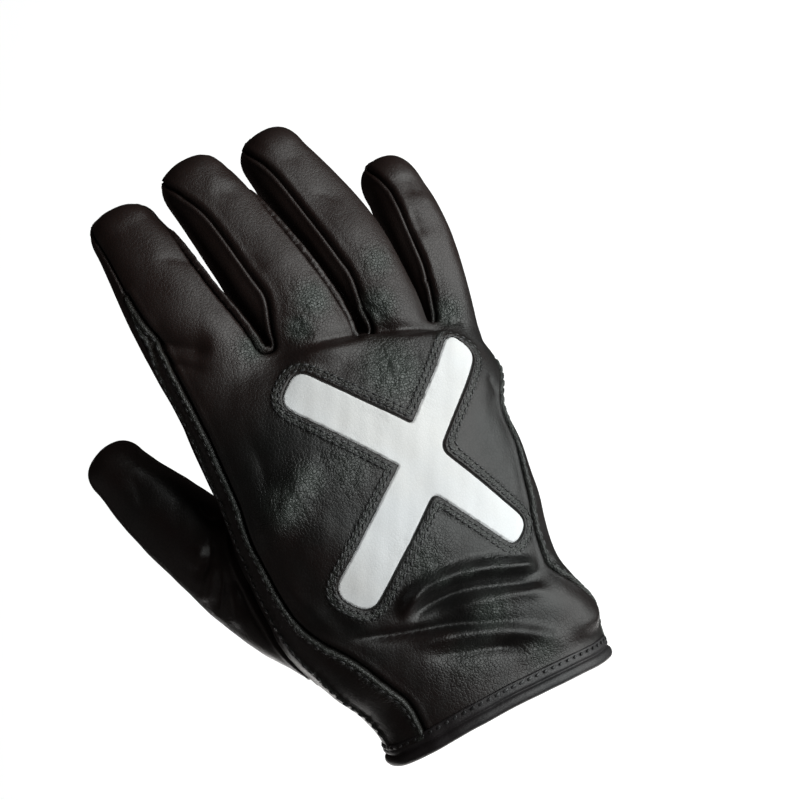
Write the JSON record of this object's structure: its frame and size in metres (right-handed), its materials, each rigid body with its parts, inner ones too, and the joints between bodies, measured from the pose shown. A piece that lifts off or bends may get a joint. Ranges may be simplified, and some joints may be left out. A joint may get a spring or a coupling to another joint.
{
  "type": "motorcycle glove",
  "caption": "Right-hand short-cuff motorcycle glove of smooth black leather with a white inlaid saltire on the back and topstitched side bands.",
  "frame": {"origin": "centre of the wrist opening, in the plane of the hem's lower edge", "axes": "+Y from the wrist to the fingertips, +X towards the little finger, +Z out of the back of the hand"},
  "size_m": [0.1428, 0.2063, 0.0662],
  "materials": {
    "black_leather": "black smooth leather, semi-gloss, fine pebbled grain",
    "white_leather": "white smooth leather, satin"
  },
  "bodies": {
    "root": {"back_panel": "black_leather", "palm_panel": "black_leather", "fourchette_index_middle": "black_leather", "fourchette_middle_ring": "black_leather", "fourchette_ring_little": "black_leather", "index_side_band": "black_leather", "little_side_band": "black_leather", "thumb": "black_leather", "cross_inlay": "white_leather", "cuff_binding": "black_leather"}
  },
  "joints": []
}
